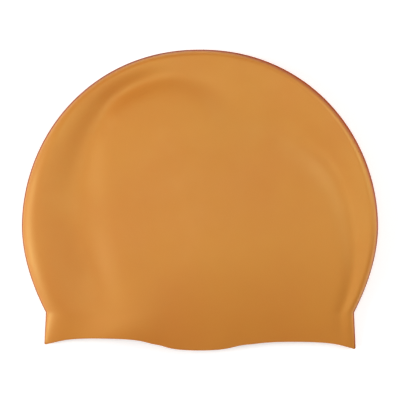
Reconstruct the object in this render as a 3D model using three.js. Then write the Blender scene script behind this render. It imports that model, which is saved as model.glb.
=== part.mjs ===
// A moulded silicone swim cap, lying on its side as it rests on a table by itself.
//
// Millimetres, +Z up. The crown points along +Y and the mouth opens towards -Y. The cap is one
// thin wall, pressed flat like an empty purse: a lower face that lies flat on the table, an upper
// face that stands domed over it, and a rolled fold where the two meet. The mould's parting line
// runs along that fold, from one corner of the mouth over the crown to the other corner.
//
// The skin is lofted through rings. A ring is a flattened oval round the mouth's own axis, and
// the rings run from the wavy hem up to the crown, where they close. "turn" goes round a ring:
// 0 at the right fold, a quarter at the middle of the upper face, a half at the left fold.
// "level" goes up the cap: 0 at the hem, 1 at the waist, 2 at the widest line, 3 at the crown.
//
// The origin lies on the table, under the middle of the cap's box.

import * as THREE from "three";

// The outline, seen from above.
const width = 225; // fold to fold along the widest line, parting line included
const crownRise = 112; // from the widest line up to the crown
const waistDrop = 54; // from the widest line down to the waist, where the cap turns out again
const waistInset = 15.1; // how far each side is drawn in at the waist
const skirtDrop = 24; // from the waist down to the lowest point of the hem
const skirtFlare = 1.1; // how far the hem's corners stand out past the waist
const hemWave = 7.8; // height of the arches along the hem

// The outline's curves: powers of a rounded oval above the widest line and of the flanks below it.
const crownPower = 1.98;
const shoulderPower = 2.1;
const flankPower = 1.83;

// The depth, standing up from the table.
const foldHeight = 5; // height of the parting line along the sides and the crown
const contactInset = 9; // from the fold in to where the lower face lies flat
const rollRise = 8.5; // from the parting line up to the crest of the rolled fold
const rollReach = 17; // from the parting line in to that crest, where the roll is broadest
const rollPower = 2.4; // how full the rolled fold is
const domeRise = 6.5; // from that crest up to the middle of the upper face
const valleyInset = 34; // from the fold in to the soft valley that runs inside the roll
const valleyWidth = 15; // half of the valley's breadth
const valleyDepth = 2.2;

// The mouth, where the two faces come closer together and the upper one is a low oval arch.
const mouthHeight = 8.4; // top of that arch, above the table
const mouthFoldHeight = 3; // height of the parting line at the mouth's corners
const mouthRun = 70; // length over which the upper face comes down to the hem
const mouthPower = 2; // how much of that comes at the hem

// The wall.
const wall = 0.8;
const hemWall = 1.4; // the moulded lip is thicker than the wall
const hemBand = 7; // length over which the wall thickens towards the lip
const partingHeight = 0.4; // the raised line that the two halves of the mould leave
const partingWidth = 0.5; // half of its breadth

// Height of the hem's line above its lowest point, as a share of hemWave, from the left corner
// (-1) to the right one (1).
const hemLine = [
  { across: -1, rise: 0.46 },
  { across: -0.6, rise: 1 },
  { across: -0.28, rise: 0.5 },
  { across: 0, rise: 0 },
  { across: 0.3, rise: 0.46 },
  { across: 0.62, rise: 0.68 },
  { across: 1, rise: 0.08 },
];

// How the fold changes round the cap. The bearing is in degrees: 0 over the crown, 90 at the left
// fold and -90 at the right one. reach is a share of rollReach, inset one of valleyInset and
// valleyWidth, and dip one of valleyDepth.
const foldRound = [
  { bearing: -180, reach: 0.35, inset: 0.3, dip: 0.7 },
  { bearing: -120, reach: 0.35, inset: 0.3, dip: 0.9 },
  { bearing: -90, reach: 0.35, inset: 0.5, dip: 0.9 },
  { bearing: -66, reach: 0.35, inset: 0.64, dip: 1.4 },
  { bearing: -44, reach: 0.35, inset: 0.9, dip: 1.4 },
  { bearing: -22, reach: 0.35, inset: 1.05, dip: 0.8 },
  { bearing: 0, reach: 0.35, inset: 0.65, dip: 0.7 },
  { bearing: 25, reach: 0.32, inset: 0.45, dip: 1.6 },
  { bearing: 45, reach: 0.36, inset: 0.62, dip: 1.75 },
  { bearing: 65, reach: 0.6, inset: 0.86, dip: 1.6 },
  { bearing: 90, reach: 0.95, inset: 1.1, dip: 1.1 },
  { bearing: 120, reach: 1.1, inset: 1.15, dip: 1.1 },
  { bearing: 180, reach: 1.1, inset: 1.15, dip: 0.6 },
];

// Soft dents and swellings of the upper face, each a long round hill on it. across and up place
// its middle, as shares of half the width and of crownRise above the widest line. length and
// breadth are shares of half the width, turn is in degrees from +X, and lift is a share of
// reliefHeight: below 0 for a dent.
const reliefHeight = 1.6;
const relief = [
  { across: -0.6, up: -0.22, length: 0.24, breadth: 0.09, turn: -62, lift: -0.7 },
  { across: -0.42, up: -0.1, length: 0.17, breadth: 0.1, turn: -58, lift: 0.45 },
  { across: -0.5, up: 0.5, length: 0.3, breadth: 0.11, turn: 52, lift: -0.4 },
  { across: 0.4, up: 0.79, length: 0.12, breadth: 0.05, turn: -34, lift: -0.35 },
  { across: 0.66, up: 0.28, length: 0.26, breadth: 0.09, turn: -64, lift: -0.4 },
  { across: -0.42, up: -0.7, length: 0.22, breadth: 0.27, turn: 0, lift: 3.2 },
  { across: -0.11, up: 0.56, length: 0.35, breadth: 0.3, turn: 0, lift: 2.2 },
];

// How finely the skin is cut.
const turns = 80;
const skirtRings = 3;
const flankRings = 6;
const crownRings = 24;
const lipSteps = 4;
const foldGathering = 0.16; // draws the steps of a ring towards the folds, where they bend

const silicone = { color: 0xcf8c42, roughness: 0.5, metalness: 0 };

const halfWidth = width / 2 - partingHeight;
const crownReach = crownRise - partingHeight;
const hemReach = waistDrop + skirtDrop - hemWall / 2;
const middleRise = (crownRise - waistDrop - skirtDrop) / 2; // of the box, from the widest line
const step = 1e-3; // of a turn or level, for slopes

const share = (value, from, to) => THREE.MathUtils.clamp((value - from) / (to - from), 0, 1);
const blend = THREE.MathUtils.lerp;

// A quarter of a rounded oval: rises steeply from 0 and is level at 1.
const rounded = (t, power) => Math.sqrt(1 - (1 - t) ** power);

// A smooth curve through the rows of a table, read at a place along it.
function along(rows, place, value, at) {
  const last = rows.length - 1;
  const i = Math.min(Math.max(rows.findIndex((row) => row[place] >= at), 1), last);
  const slope = (k) => {
    const before = rows[Math.max(k - 1, 0)];
    const after = rows[Math.min(k + 1, last)];
    return (after[value] - before[value]) / (after[place] - before[place]);
  };
  const gap = rows[i][place] - rows[i - 1][place];
  const t = share(at, rows[i - 1][place], rows[i][place]);
  const start = rows[i - 1][value];
  const end = rows[i][value];
  return (
    (2 * t ** 3 - 3 * t ** 2 + 1) * start +
    (t ** 3 - 2 * t ** 2 + t) * gap * slope(i - 1) +
    (3 * t ** 2 - 2 * t ** 3) * end +
    (t ** 3 - t ** 2) * gap * slope(i)
  );
}

// A ring's height above the widest line, half its width, and how full it is: 1 from the hem to
// the widest line, and then down to 0 at the crown.
function ringAt(level) {
  if (level <= 1) {
    const open = 1 - level;
    return {
      rise: -blend(waistDrop, hemReach, open),
      half: halfWidth - waistInset + skirtFlare * open,
      full: 1,
    };
  }
  if (level <= 2) {
    const drop = 2 - level;
    return {
      rise: -waistDrop * drop,
      half: halfWidth - waistInset * drop ** flankPower,
      full: 1,
    };
  }
  const angle = ((level - 2) * Math.PI) / 2;
  const full = Math.max(Math.cos(angle), 0) ** (2 / shoulderPower);
  return {
    rise: crownReach * Math.sin(angle) ** (2 / crownPower),
    half: halfWidth * full,
    full,
  };
}

// How far a point of the upper face is lifted or sunk by the dents and swellings.
function reliefAt(x, rise) {
  let lift = 0;
  for (const hill of relief) {
    const turn = THREE.MathUtils.degToRad(hill.turn);
    const dx = x - hill.across * halfWidth;
    const dy = rise - hill.up * crownRise;
    const alongHill = (dx * Math.cos(turn) + dy * Math.sin(turn)) / (hill.length * halfWidth);
    const acrossHill = (dy * Math.cos(turn) - dx * Math.sin(turn)) / (hill.breadth * halfWidth);
    lift += hill.lift * Math.exp(-(alongHill ** 2) - acrossHill ** 2);
  }
  return lift * reliefHeight;
}

// The smooth outer skin, without the parting line.
function skin(turn, level) {
  const ring = ringAt(level);
  const angle = turn - foldGathering * Math.sin(2 * turn);
  const across = Math.cos(angle);
  const x = ring.half * across;

  // How far in from the fold the point lies, seen from above.
  const outward = Math.sqrt(1 - ring.full ** 2 * (1 - across ** 2));
  const inset = halfWidth * (1 - outward);

  // How far the faces have come apart: least at the mouth.
  const fromHem = share(ring.rise, -hemReach, mouthRun - hemReach);
  const apart = 1 - (1 - fromHem) ** mouthPower;
  const fold = blend(mouthFoldHeight, foldHeight, apart);

  let z;
  if (Math.sin(angle) >= 0) {
    const bearing = THREE.MathUtils.radToDeg(Math.atan2(-x, ring.rise));
    const reach = rollReach * along(foldRound, "bearing", "reach", bearing);
    const valleyAt = inset / along(foldRound, "bearing", "inset", bearing);
    const dip = valleyDepth * along(foldRound, "bearing", "dip", bearing);
    const roll = rounded(share(inset, 0, reach), rollPower);
    const dome = THREE.MathUtils.smoothstep(inset, reach, halfWidth);
    const valley = dip * Math.exp(-(((valleyAt - valleyInset) / valleyWidth) ** 2));
    const inside = roll ** 2;
    const body = foldHeight + rollRise * roll + domeRise * dome - valley * inside;
    const arch = Math.sqrt(1 - outward ** 2);
    const mouth = blend(mouthFoldHeight, mouthHeight, arch);
    z = blend(mouth, body, apart) + reliefAt(x, ring.rise) * inside;
  } else {
    const contact = (contactInset * fold) / foldHeight;
    z = fold * (1 - rounded(share(inset, 0, contact), rollPower));
  }

  const wave = hemWave * along(hemLine, "across", "rise", across) * (1 - Math.min(level, 1));
  return new THREE.Vector3(x, ring.rise + wave - middleRise, z);
}

// Which way a point of the skin faces, and which way leads down it and out at the mouth.
function facing(turn, level) {
  const round = skin(turn + step, level).sub(skin(turn - step, level));
  const down = skin(turn, Math.max(level - step, 0)).sub(skin(turn, level + step));
  const normal = new THREE.Vector3().crossVectors(round, down).normalize();
  return { normal, out: down.normalize() };
}

// A point of the wall, some way in from the outer skin.
function wallPoint(turn, level, inward) {
  const base = skin(turn, level);
  const { normal } = facing(turn, level);
  const fold = skin(0, level).z;
  const parting = inward ? 0 : partingHeight * Math.exp(-(((base.z - fold) / partingWidth) ** 2));
  return base.addScaledVector(normal, parting - inward);
}

// How thick the wall is at a point: thicker towards the lip.
function thicknessAt(turn, level) {
  const fromLip = skin(turn, level).distanceTo(skin(turn, 0));
  return blend(hemWall, wall, THREE.MathUtils.smoothstep(fromLip, 0, hemBand));
}

// The levels of the rings, from the hem to the last one before the crown.
function ringLevels() {
  const levels = [];
  for (let i = 0; i < skirtRings; i++) levels.push(i / skirtRings);
  for (let i = 0; i < flankRings; i++) levels.push(1 + i / flankRings);
  for (let i = 0; i < crownRings; i++) levels.push(2 + i / crownRings);
  return levels;
}

// The rings of points of the whole wall in order: down the outer skin to the hem, round the
// lip, and up the inner skin again.
function wallRings() {
  const ringOf = (pointAt) =>
    Array.from({ length: turns }, (_, k) => pointAt((k / turns) * 2 * Math.PI));
  const levels = ringLevels();
  const outer = levels.map((level) => ringOf((turn) => wallPoint(turn, level, 0)));
  const inner = levels.map((level) =>
    ringOf((turn) => wallPoint(turn, level, thicknessAt(turn, level))),
  );
  const lip = [];
  for (let i = 1; i < lipSteps; i++) {
    const angle = (i / lipSteps) * Math.PI;
    lip.push(
      ringOf((turn) => {
        const { normal, out } = facing(turn, 0);
        return wallPoint(turn, 0, hemWall / 2)
          .addScaledVector(normal, (hemWall / 2) * Math.cos(angle))
          .addScaledVector(out, (hemWall / 2) * Math.sin(angle));
      }),
    );
  }
  return [...outer.reverse(), ...lip, ...inner];
}

// One closed body: the rings joined in bands, with a fan at the crown outside and inside.
function shellGeometry() {
  const rings = wallRings();
  const points = rings.flat();
  const outerCrown = points.push(new THREE.Vector3(0, crownRise - middleRise, foldHeight)) - 1;
  const innerCrown =
    points.push(new THREE.Vector3(0, crownReach - wall - middleRise, foldHeight)) - 1;
  const faces = [];
  const start = (ring) => ring * turns;
  for (let k = 0; k < turns; k++) {
    const next = (k + 1) % turns;
    for (let r = 0; r + 1 < rings.length; r++) {
      const [a, b] = [start(r) + k, start(r) + next];
      const [c, d] = [start(r + 1) + k, start(r + 1) + next];
      faces.push(a, d, c, a, b, d);
    }
    const lastRing = start(rings.length - 1);
    faces.push(outerCrown, next, k);
    faces.push(innerCrown, lastRing + k, lastRing + next);
  }
  const geometry = new THREE.BufferGeometry().setFromPoints(points);
  geometry.setIndex(faces);
  geometry.computeVertexNormals();
  return geometry;
}

const shell = new THREE.Mesh(shellGeometry(), new THREE.MeshStandardMaterial(silicone));
shell.name = "cap_shell";

const cap = new THREE.Group();
cap.add(shell);

export default cap;
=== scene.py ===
# A moulded silicone swim cap, lying on its side on a pale table top and seen from straight above.
#
# Metres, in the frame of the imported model: +Z up, the crown towards +Y, the mouth towards -Y,
# and the origin on the table under the middle of the cap.

import math

import bpy
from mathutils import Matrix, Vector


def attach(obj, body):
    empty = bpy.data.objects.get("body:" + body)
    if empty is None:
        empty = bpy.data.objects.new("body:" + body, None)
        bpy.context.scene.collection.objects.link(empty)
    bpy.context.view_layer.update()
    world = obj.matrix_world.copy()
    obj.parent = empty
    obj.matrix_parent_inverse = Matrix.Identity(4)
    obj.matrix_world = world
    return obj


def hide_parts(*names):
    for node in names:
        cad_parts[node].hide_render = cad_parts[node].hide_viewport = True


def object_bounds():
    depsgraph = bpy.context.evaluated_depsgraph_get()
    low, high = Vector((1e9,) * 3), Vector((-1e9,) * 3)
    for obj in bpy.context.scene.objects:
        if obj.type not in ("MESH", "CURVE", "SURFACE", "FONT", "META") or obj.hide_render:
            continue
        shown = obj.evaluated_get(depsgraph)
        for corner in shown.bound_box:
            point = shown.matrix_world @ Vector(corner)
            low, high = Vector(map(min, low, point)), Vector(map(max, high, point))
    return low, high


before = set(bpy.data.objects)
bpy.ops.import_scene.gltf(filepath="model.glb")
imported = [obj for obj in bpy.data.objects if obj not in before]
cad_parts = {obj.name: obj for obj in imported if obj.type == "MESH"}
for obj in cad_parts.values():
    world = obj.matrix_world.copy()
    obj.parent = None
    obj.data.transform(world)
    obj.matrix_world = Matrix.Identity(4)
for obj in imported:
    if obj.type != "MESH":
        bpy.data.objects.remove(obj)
cad_low, cad_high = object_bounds()

# The cap. The real one is a single skin of satin silicone rubber, poured in a two-part mould and
# pulled off its core. It lies pressed flat like an empty purse: the mould's parting line runs
# round the rolled fold, and a thicker lip finishes the wavy open hem.
MM = 0.001
cap_width = cad_high.x - cad_low.x
parting_height = 0.4 * MM

cap_sizes = {
    "Half width": cap_width / 2 - parting_height,
    "Crown rise": 112 * MM - parting_height,
    "Waist drop": 54 * MM,
    "Waist inset": 15.1 * MM,
    "Skirt drop": 23.3 * MM,
    "Skirt flare": 1.1 * MM,
    "Hem wave": 7.8 * MM,
    "Box middle": 17 * MM,
    "Crown power": 1.98,
    "Shoulder power": 2.1,
    "Flank power": 1.83,
    "Fold height": 5 * MM,
    "Contact inset": 9 * MM,
    "Roll rise": 8.5 * MM,
    "Roll reach": 17 * MM,
    "Roll power": 2.4,
    "Dome rise": 6.5 * MM,
    "Valley inset": 34 * MM,
    "Valley width": 15 * MM,
    "Valley depth": 2.2 * MM,
    "Mouth height": 8.4 * MM,
    "Mouth fold height": 3 * MM,
    "Mouth run": 70 * MM,
    "Mouth power": 2.0,
    "Relief height": 1.6 * MM,
    "Fold gathering": 0.3,
}
wall_sizes = {
    "Wall": 0.8 * MM,
    "Hem wall": 1.4 * MM,
    "Hem band": 7 * MM,
    "Parting height": parting_height,
    "Parting width": 0.5 * MM,
}
cap_rings = {
    "Turns": 320,
    "Skirt rings": 16,
    "Flank rings": 34,
    "Crown rings": 110,
    "Lip rings": 7,
    "Inner share": 0.5,
}

# Levels up the skin. Its rings are spread evenly between one and the next.
hem_level, waist_level, widest_level, crown_level = 0.0, 1.0, 2.0, 3.0

# Height of the hem above its lowest point, as a share of the wave, from the left corner to the
# right one.
hem_line = [(-1, 0.46), (-0.6, 1), (-0.28, 0.5), (0, 0), (0.3, 0.46), (0.62, 0.68), (1, 0.08)]

# How the fold changes round the cap. The bearing is in degrees: 0 over the crown, 90 at the left
# fold and -90 at the right one. The reach is how far in the roll comes, the inset how far in the
# valley lies, and the dip how deep it is, as shares of their sizes. The last column is the
# breadth of the strip of painted shade along the parting line, in millimetres, on the upper face:
# broadest at the upper right, where the fold turns away from the window, and narrowest on the lit
# left.
# On the lower face the strip has only a share of that breadth.
fold_columns = ("bearing", "reach", "inset", "dip", "shade_edge")
fold_round = [
    (-180, 0.35, 0.3, 0.7, 0.4),
    (-120, 0.35, 0.3, 0.9, 0.6),
    (-90, 0.35, 0.5, 0.9, 1.2),
    (-66, 0.35, 0.64, 1.4, 1.9),
    (-44, 0.35, 0.9, 1.4, 2.3),
    (-22, 0.35, 1.05, 0.8, 2.1),
    (0, 0.35, 0.65, 0.7, 1.5),
    (25, 0.32, 0.45, 1.6, 1.3),
    (45, 0.36, 0.62, 1.75, 1.0),
    (65, 0.6, 0.86, 1.6, 0.7),
    (90, 0.95, 1.1, 1.1, 0.35),
    (120, 1.1, 1.15, 1.1, 0.2),
    (180, 1.1, 1.15, 0.6, 0.2),
]
lower_shade_share = 0.3

# Soft dents and swellings of the upper face: where each has its middle, as shares of half the
# width and of the crown's rise, then its length, breadth, turn in degrees, and lift.
soft_hills = [
    (-0.6, -0.22, 0.24, 0.09, -62, -0.7),
    (-0.42, -0.1, 0.17, 0.1, -58, 0.45),
    (-0.5, 0.5, 0.3, 0.11, 52, -0.4),
    (0.4, 0.79, 0.12, 0.05, -34, -0.35),
    (0.66, 0.28, 0.26, 0.09, -64, -0.4),
    (-0.42, -0.7, 0.22, 0.27, 0, 3.2),
    (-0.11, 0.56, 0.35, 0.3, 0, 2.2),
]


class Amount:
    """One number of a node tree: arithmetic on it adds Math nodes to the tree."""

    def __init__(self, socket):
        self.socket = socket

    def math(self, operation, *others):
        tree = self.socket.id_data
        node = tree.nodes.new("ShaderNodeMath")
        node.operation = operation
        for entry, value in zip(node.inputs, (self, *others)):
            if isinstance(value, Amount):
                tree.links.new(value.socket, entry)
            else:
                entry.default_value = value
        return Amount(node.outputs[0])

    def __add__(self, other):
        return self.math("ADD", other)

    def __sub__(self, other):
        return self.math("SUBTRACT", other)

    def __mul__(self, other):
        return self.math("MULTIPLY", other)

    def __truediv__(self, other):
        return self.math("DIVIDE", other)

    def __pow__(self, other):
        return self.math("POWER", other)

    def below(self, other):
        """How far it lies below the other: the other minus this one."""
        return self.math("MULTIPLY_ADD", -1.0, other)


def share_of(value, low, high, steps="LINEAR"):
    """How far value has come from low to high, held between 0 and 1."""
    tree = value.socket.id_data
    node = tree.nodes.new("ShaderNodeMapRange")
    node.interpolation_type = steps
    for name, entry in (("Value", value), ("From Min", low), ("From Max", high)):
        if isinstance(entry, Amount):
            tree.links.new(entry.socket, node.inputs[name])
        else:
            node.inputs[name].default_value = entry
    return Amount(node.outputs[0])


def blend(low, high, share):
    """Low where share is 0, high where it is 1."""
    return share * (high - low) + low


def bell(value):
    """1 where value is 0, and down to nothing on both sides."""
    return (value * value * -1.0).math("EXPONENT")


def rounded(share, power):
    """A quarter of a rounded oval: rises steeply from 0 and is level at 1."""
    return (share.below(1.0) ** power).below(1.0).math("SQRT")


def new_tree(name, sizes):
    """A geometry tree with a named number input for each size, and those inputs as amounts."""
    tree = bpy.data.node_groups.new(name, "GeometryNodeTree")
    entry = tree.nodes.new("NodeGroupInput")
    amounts = {}
    for label, value in sizes.items():
        kind = "NodeSocketInt" if isinstance(value, int) else "NodeSocketFloat"
        socket = tree.interface.new_socket(label, in_out="INPUT", socket_type=kind)
        socket.default_value = value
        amounts[label] = Amount(entry.outputs[label])
    return tree, entry, amounts


def curve_through(tree, value, points):
    """A Float Curve node through points, read at value; both run from 0 to 1."""
    node = tree.nodes.new("ShaderNodeFloatCurve")
    curve = node.mapping.curves[0]
    curve.points[0].location = points[0]
    curve.points[1].location = points[-1]
    for point in points[1:-1]:
        curve.points.new(*point)
    for end in (curve.points[0], curve.points[-1]):
        end.handle_type = "VECTOR"
    node.mapping.update()
    tree.links.new(value.socket, node.inputs["Value"])
    return Amount(node.outputs[0])


def make_skin_tree():
    """The smooth outer skin: the place on it of a turn round the cap and a level up it.

    The turn is 0 at the right fold and half a circle at the left one. The upper face lies
    between them the one way round, and the lower face the other.
    """
    tree, _, size = new_tree("Cap skin", {**cap_sizes, "Turn": 0.0, "Level": 0.0})
    level = size["Level"]
    half_width = size["Half width"]
    crown_rise = size["Crown rise"]

    # A ring's height above the widest line, how full it is, and half its width.
    skirt = share_of(level.below(waist_level), 0.0, 1.0)
    drop = share_of(level.below(widest_level), 0.0, 1.0)
    climb = share_of(level, widest_level, crown_level) * (math.pi / 2)
    crown = climb.math("SINE") ** (size["Crown power"] / 2.0) ** -1.0
    full = climb.math("COSINE").math("MAXIMUM", 0.0) ** (size["Shoulder power"] / 2.0) ** -1.0
    rise = crown_rise * crown - size["Waist drop"] * drop - size["Skirt drop"] * skirt
    flank = size["Waist inset"] * drop ** size["Flank power"]
    half = (half_width - flank + size["Skirt flare"] * skirt) * full

    # Points are gathered towards the folds, where the skin bends most.
    angle = size["Turn"] - (size["Turn"] * 2.0).math("SINE") * size["Fold gathering"]
    across = angle.math("COSINE")
    x = half * across

    # How far in from the fold the point lies, and how far the two faces have come apart.
    slack = (across * across).below(1.0) * full * full
    inset = half_width * slack / (slack.below(1.0).math("SQRT") + 1.0)
    hem_reach = size["Waist drop"] + size["Skirt drop"]
    from_hem = share_of(rise + hem_reach, 0.0, size["Mouth run"])
    apart = (from_hem.below(1.0) ** size["Mouth power"]).below(1.0)
    fold = blend(size["Mouth fold height"], size["Fold height"], apart)

    # The upper face: the rolled fold, the valley inside it, the dome and the soft hills. The
    # bearing is here a share of the whole way round, from -180 degrees to 180.
    bearing = (x * -1.0).math("ARCTAN2", rise) * (0.5 / math.pi) + 0.5
    fold_here = {}
    for column, most in (("reach", 2), ("inset", 2), ("dip", 2), ("shade_edge", 3)):
        number = fold_columns.index(column)
        points = [(row[0] / 360 + 0.5, row[number] / most) for row in fold_round]
        fold_here[column] = curve_through(tree, bearing, points) * most
    reach = size["Roll reach"] * fold_here["reach"]
    roll = rounded(share_of(inset, 0.0, reach), size["Roll power"])
    dome = share_of(inset, reach, half_width, "SMOOTHSTEP")
    valley = bell((inset / fold_here["inset"] - size["Valley inset"]) / size["Valley width"])
    inside = roll * roll
    body = size["Fold height"] + size["Roll rise"] * roll + size["Dome rise"] * dome
    body = body - size["Valley depth"] * valley * fold_here["dip"] * inside
    relief = None
    for right, up, length, breadth, turn, lift in soft_hills:
        cosine = math.cos(math.radians(turn))
        sine = math.sin(math.radians(turn))
        dx = x - half_width * right
        dy = rise - crown_rise * up
        along = (dx * cosine + dy * sine) / (half_width * length)
        aside = (dy * cosine - dx * sine) / (half_width * breadth)
        hill = bell(along) * bell(aside) * lift
        relief = hill if relief is None else relief + hill

    # At the mouth the upper face is a low oval arch.
    mouth_gap = size["Mouth height"] - size["Mouth fold height"]
    mouth = size["Mouth fold height"] + mouth_gap * slack.math("SQRT")
    upper = blend(mouth, body, apart) + relief * size["Relief height"] * inside

    # The lower face lies flat on the table, a little way in from the fold. A fold itself, where
    # the sine may come out a hair under 0, counts as the upper face.
    contact = size["Contact inset"] * fold / size["Fold height"]
    flat = rounded(share_of(inset, 0.0, contact), size["Roll power"])
    lower = fold * flat.below(1.0)
    over = angle.math("SINE").math("GREATER_THAN", -1e-6)
    z = blend(lower, upper, over)

    points = [((right + 1) / 2, lift) for right, lift in hem_line]
    wave = curve_through(tree, across * 0.5 + 0.5, points) * size["Hem wave"]
    y = rise + wave * skirt - size["Box middle"]

    place = tree.nodes.new("ShaderNodeCombineXYZ")
    for number, entry in zip((x, y, z), place.inputs):
        tree.links.new(number.socket, entry)
    above_hem = share_of(level, hem_level, waist_level) * (size["Skirt drop"] - wave)
    # How far in from the fold the point lies, in breadths of the painted shade strip.
    shade_edge = inset / (fold_here["shade_edge"] * blend(lower_shade_share, 1.0, over)) / MM
    results = tree.nodes.new("NodeGroupOutput")
    for label, kind, socket in (
        ("Place", "NodeSocketVector", place.outputs[0]),
        ("Fold", "NodeSocketFloat", fold.socket),
        ("Above hem", "NodeSocketFloat", above_hem.socket),
        ("Shade edge", "NodeSocketFloat", shade_edge.socket),
    ):
        tree.interface.new_socket(label, in_out="OUTPUT", socket_type=kind)
        tree.links.new(socket, results.inputs[label])
    return tree


def make_shell_tree(skin_tree):
    """The whole wall: rings down the outer skin, round the lip and up the inner skin again."""
    tree, entry, size = new_tree("Cap shell", {**cap_sizes, **wall_sizes, **cap_rings})
    tree.interface.new_socket("Silicone", in_out="INPUT", socket_type="NodeSocketMaterial")
    tree.interface.new_socket("Cap", in_out="OUTPUT", socket_type="NodeSocketGeometry")

    def node(kind, **settings):
        made = tree.nodes.new(kind)
        for name, value in settings.items():
            setattr(made, name, value)
        return made

    def vector(operation, first, second=None, scale=None):
        made = node("ShaderNodeVectorMath", operation=operation)
        tree.links.new(first, made.inputs[0])
        if second is not None:
            tree.links.new(second, made.inputs[1])
        if scale is not None:
            tree.links.new(scale.socket, made.inputs["Scale"])
        return made.outputs[0]

    # A tube of rings to be laid on the cap: turn goes round it and ring counts down it.
    outer_rings = size["Skirt rings"] + size["Flank rings"] + size["Crown rings"]
    lip_rings = size["Lip rings"] + 1.0
    all_rings = outer_rings + lip_rings + outer_rings * size["Inner share"]
    tube = node("GeometryNodeMeshCylinder", fill_type="NONE")
    tree.links.new(size["Turns"].socket, tube.inputs["Vertices"])
    tree.links.new(all_rings.socket, tube.inputs["Side Segments"])
    tube.inputs["Radius"].default_value = 1.0
    tube.inputs["Depth"].default_value = 2.0
    where = node("GeometryNodeInputPosition")
    parts = node("ShaderNodeSeparateXYZ")
    tree.links.new(where.outputs[0], parts.inputs[0])
    turn = Amount(parts.outputs["Y"]).math("ARCTAN2", Amount(parts.outputs["X"]))
    ring = (Amount(parts.outputs["Z"]).below(1.0) * 0.5 * all_rings).math("ROUND")

    # Rings left to the hem, and from them the level, and the angle turned round the lip.
    to_hem = (outer_rings - ring).math("MAXIMUM", 0.0)
    from_lip = (ring - outer_rings - lip_rings).math("MAXIMUM", 0.0) / size["Inner share"]
    count = to_hem + from_lip
    skirt = count / size["Skirt rings"]
    flank = (count - size["Skirt rings"]) / size["Flank rings"]
    crown = (count - size["Skirt rings"] - size["Flank rings"]) / size["Crown rings"]
    level = share_of(skirt, 0.0, 1.0) + share_of(flank, 0.0, 1.0) + share_of(crown, 0.0, 1.0)
    lip_angle = share_of((ring - outer_rings) / lip_rings, 0.0, 1.0) * math.pi

    def skin(turned, raised):
        made = node("GeometryNodeGroup", node_tree=skin_tree)
        for label in cap_sizes:
            tree.links.new(size[label].socket, made.inputs[label])
        tree.links.new(turned.socket, made.inputs["Turn"])
        tree.links.new(raised.socket, made.inputs["Level"])
        return made.outputs

    # The way out of the wall, square to the skin. The crown's ring is one point, with no way
    # round it, so its way out is given.
    turn_step = 0.01
    level_step = 0.002
    here = skin(turn, level)
    ahead, behind = skin(turn + turn_step, level), skin(turn - turn_step, level)
    higher = skin(turn, (level + level_step).math("MINIMUM", crown_level))
    lower = skin(turn, (level - level_step).math("MAXIMUM", hem_level))
    around = vector("SUBTRACT", ahead["Place"], behind["Place"])
    down = vector("NORMALIZE", vector("SUBTRACT", lower["Place"], higher["Place"]))
    slanted = vector("NORMALIZE", vector("CROSS_PRODUCT", around, down))
    at_crown = node("GeometryNodeSwitch", input_type="VECTOR")
    last_ring = level.math("GREATER_THAN", crown_level - level_step / 4)
    tree.links.new(last_ring.socket, at_crown.inputs["Switch"])
    tree.links.new(slanted, at_crown.inputs["False"])
    at_crown.inputs["True"].default_value = (0, 1, 0)
    outward = at_crown.outputs[0]

    # The wall's thickness, the raised parting line and the round of the lip.
    near_lip = share_of(Amount(here["Above hem"]), 0.0, size["Hem band"], "SMOOTHSTEP")
    thickness = blend(size["Hem wall"], size["Wall"], near_lip)
    height = node("ShaderNodeSeparateXYZ")
    tree.links.new(here["Place"], height.inputs[0])
    off_line = Amount(height.outputs["Z"]) - Amount(here["Fold"])
    outside = (lip_angle * (1 / math.pi)).below(1.0)
    parting = bell(off_line / size["Parting width"]) * outside
    inward = (lip_angle.math("COSINE").below(1.0)) * thickness * 0.5
    along_normal = parting * size["Parting height"] - inward
    along_hem = lip_angle.math("SINE") * thickness * 0.5
    place = vector("ADD", here["Place"], vector("SCALE", outward, scale=along_normal))
    place = vector("ADD", place, vector("SCALE", down, scale=along_hem))

    stored = node("GeometryNodeStoreNamedAttribute", data_type="FLOAT", domain="POINT")
    stored.inputs["Name"].default_value = "shade_edge"
    tree.links.new(tube.outputs["Mesh"], stored.inputs["Geometry"])
    tree.links.new(here["Shade edge"], stored.inputs["Value"])
    laid = node("GeometryNodeSetPosition")
    tree.links.new(stored.outputs[0], laid.inputs["Geometry"])
    tree.links.new(place, laid.inputs["Position"])

    # The crown's points become one, outside and inside, which closes the shell. Laid on the cap
    # the tube faces inwards, so its faces are turned over.
    same_point = 5e-8
    merged = node("GeometryNodeMergeByDistance")
    merged.inputs["Distance"].default_value = same_point
    turned_over = node("GeometryNodeFlipFaces")
    smooth = node("GeometryNodeSetShadeSmooth")
    realized = node("GeometryNodeRealizeInstances")
    painted = node("GeometryNodeSetMaterial")
    tree.links.new(entry.outputs["Silicone"], painted.inputs["Material"])
    kept = laid.outputs[0]
    for step in (merged, turned_over, smooth, realized, painted):
        tree.links.new(kept, step.inputs[0])
        kept = step.outputs[0]
    results = node("NodeGroupOutput")
    tree.links.new(kept, results.inputs["Cap"])
    return tree


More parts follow.
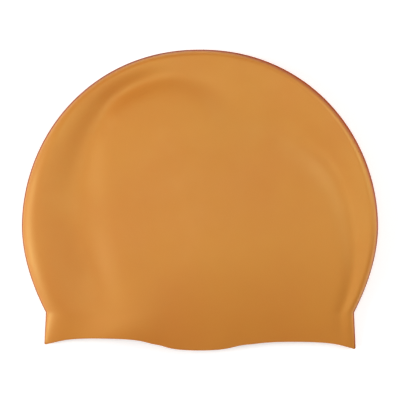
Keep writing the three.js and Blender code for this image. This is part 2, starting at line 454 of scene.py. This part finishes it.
def make_silicone():
    """Satin silicone rubber with a golden sheen, and painted shade along the parting line."""
    material = bpy.data.materials.new("silicone")
    material.use_nodes = True
    tree = material.node_tree
    shader = tree.nodes["Principled BSDF"]
    shader.inputs["Specular Tint"].default_value = (1.0, 0.88, 0.35, 1)
    shader.inputs["Subsurface Weight"].default_value = 0.12
    shader.inputs["Subsurface Radius"].default_value = (1.0, 0.4, 0.12)
    shader.inputs["Subsurface Scale"].default_value = 1.5 * MM

    def fill(node, values):
        for name, value in values.items():
            node.inputs[name].default_value = value
        return node

    place = tree.nodes.new("ShaderNodeTexCoord")

    def noise(scale, detail):
        made = fill(tree.nodes.new("ShaderNodeTexNoise"), {"Scale": scale, "Detail": detail})
        tree.links.new(place.outputs["Object"], made.inputs["Vector"])
        return made.outputs["Fac"]

    # The pigment is a little redder in some places, in clouds some centimetres across.
    tone = tree.nodes.new("ShaderNodeValToRGB")
    redder, yellower = tone.color_ramp.elements
    redder.position = 0.35
    redder.color = (0.587, 0.184, 0.023, 1)
    yellower.position = 0.65
    yellower.color = (0.605, 0.21, 0.025, 1)
    tree.links.new(noise(16.0, 4.0), tone.inputs["Fac"])

    # Painted shade along the parting line: a dark red-brown strip, with its specular level taken
    # to nothing, stands in for the shade on the side of the fold turned away from the window. The
    # attribute counts its breadth as 1, and the strip fades out a little way on both sides of
    # that.
    line = tree.nodes.new("ShaderNodeAttribute")
    line.attribute_name = "shade_edge"
    strip = tree.nodes.new("ShaderNodeMapRange")
    strip.interpolation_type = "SMOOTHSTEP"
    fill(strip, {"From Min": 0.3, "From Max": 1.6, "To Min": 1.0, "To Max": 0.0})
    painted_fold_shade = tree.nodes.new("ShaderNodeMix")
    painted_fold_shade.data_type = "RGBA"
    # The dark red-brown of the painted shade.
    fill(painted_fold_shade, {"B": (0.33, 0.055, 0.009, 1)})
    shine = fill(tree.nodes.new("ShaderNodeMix"), {"A": 1.25, "B": 0.0})
    tree.links.new(line.outputs["Fac"], strip.inputs["Value"])
    tree.links.new(strip.outputs[0], painted_fold_shade.inputs["Factor"])
    tree.links.new(strip.outputs[0], shine.inputs["Factor"])
    tree.links.new(tone.outputs["Color"], painted_fold_shade.inputs["A"])
    tree.links.new(painted_fold_shade.outputs["Result"], shader.inputs["Base Color"])
    tree.links.new(shine.outputs[0], shader.inputs["Specular IOR Level"])

    # The satin is uneven: smoother where hands have rubbed it, duller where powder clings.
    gloss = tree.nodes.new("ShaderNodeMapRange")
    fill(gloss, {"From Min": 0.3, "From Max": 0.7, "To Min": 0.46, "To Max": 0.56})
    tree.links.new(noise(55.0, 5.0), gloss.inputs["Value"])
    tree.links.new(gloss.outputs[0], shader.inputs["Roughness"])

    # A fine grain, as the blasted wall of the mould leaves it.
    grain = fill(tree.nodes.new("ShaderNodeBump"), {"Strength": 0.12, "Distance": 0.05 * MM})
    tree.links.new(noise(1400.0, 2.0), grain.inputs["Height"])
    tree.links.new(grain.outputs["Normal"], shader.inputs["Normal"])
    return material


def make_cap():
    """Runs the shell tree on an empty mesh and keeps its result as a plain mesh."""
    tree = make_shell_tree(make_skin_tree())
    cap = bpy.data.objects.new("cap", bpy.data.meshes.new("cap"))
    bpy.context.scene.collection.objects.link(cap)
    modifier = cap.modifiers.new("Cap shell", "NODES")
    modifier.node_group = tree
    wanted = {**cap_sizes, **wall_sizes, **cap_rings, "Silicone": make_silicone()}
    for socket in tree.interface.items_tree:
        if socket.in_out == "INPUT":
            modifier[socket.identifier] = wanted[socket.name]
    depsgraph = bpy.context.evaluated_depsgraph_get()
    mesh = bpy.data.meshes.new_from_object(cap.evaluated_get(depsgraph), depsgraph=depsgraph)
    cap.modifiers.remove(modifier)
    cap.data = mesh
    return cap


cap = make_cap()
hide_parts("cap_shell")
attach(cap, "root")

# The table top: a plain white board, far wider than the view. It glows a little, as a white
# board does in a bright room, so that it stays as pale as in the photo.
table_side = 4.0
bpy.ops.mesh.primitive_plane_add(size=table_side, location=(0, 0, 0))
table_top = bpy.context.active_object
table_top.name = "table_top"
white = bpy.data.materials.new("table_white")
white.use_nodes = True
white_shader = white.node_tree.nodes["Principled BSDF"]
white_shader.inputs["Base Color"].default_value = (0.9, 0.9, 0.9, 1)
white_shader.inputs["Roughness"].default_value = 0.9
white_shader.inputs["Specular IOR Level"].default_value = 0.1
white_shader.inputs["Emission Color"].default_value = (1, 1, 1, 1)
white_shader.inputs["Emission Strength"].default_value = 0.34
table_top.data.materials.append(white)

# The light: a large soft window low on the left, a paler one on the right, a soft panel overhead,
# and a pale room.
def add_light(name, place, size, power):
    """A soft panel at place, turned towards the cap."""
    data = bpy.data.lights.new(name, "AREA")
    data.shape = "RECTANGLE"
    data.size, data.size_y = size
    data.energy = power
    lamp = bpy.data.objects.new(name, data)
    bpy.context.scene.collection.objects.link(lamp)
    lamp.location = place
    lamp.rotation_euler = (-lamp.location).to_track_quat("-Z", "Y").to_euler()


add_light("window", (-1.24, -0.18, 0.6), (0.8, 0.7), 13.5)
add_light("fill", (1.05, 0.5, 0.75), (0.9, 0.9), 10)
add_light("overhead", (-0.1, 0.1, 1.38), (0.9, 0.9), 5.6)

world = bpy.data.worlds.new("room")
world.use_nodes = True
world.node_tree.nodes["Background"].inputs["Color"].default_value = (1, 1, 1, 1)
world.node_tree.nodes["Background"].inputs["Strength"].default_value = 0.2
bpy.context.scene.world = world
bpy.context.scene.view_settings.view_transform = "Standard"

# The camera looks straight down on the middle of the cap, from so far up that the cap fills the
# photo's frame as it does there: the frame is 252.7 mm wide at the height of the fold.
lens, sensor = 120, 36
frame_width = 252.7 * MM
camera_data = bpy.data.cameras.new("camera")
camera_data.lens = lens
camera_data.sensor_width = sensor
camera_data.clip_start, camera_data.clip_end = 0.01, 10
camera = bpy.data.objects.new("camera", camera_data)
bpy.context.scene.collection.objects.link(camera)
camera.location = (0, 0, frame_width * lens / sensor + cap_sizes["Fold height"])
bpy.context.scene.camera = camera
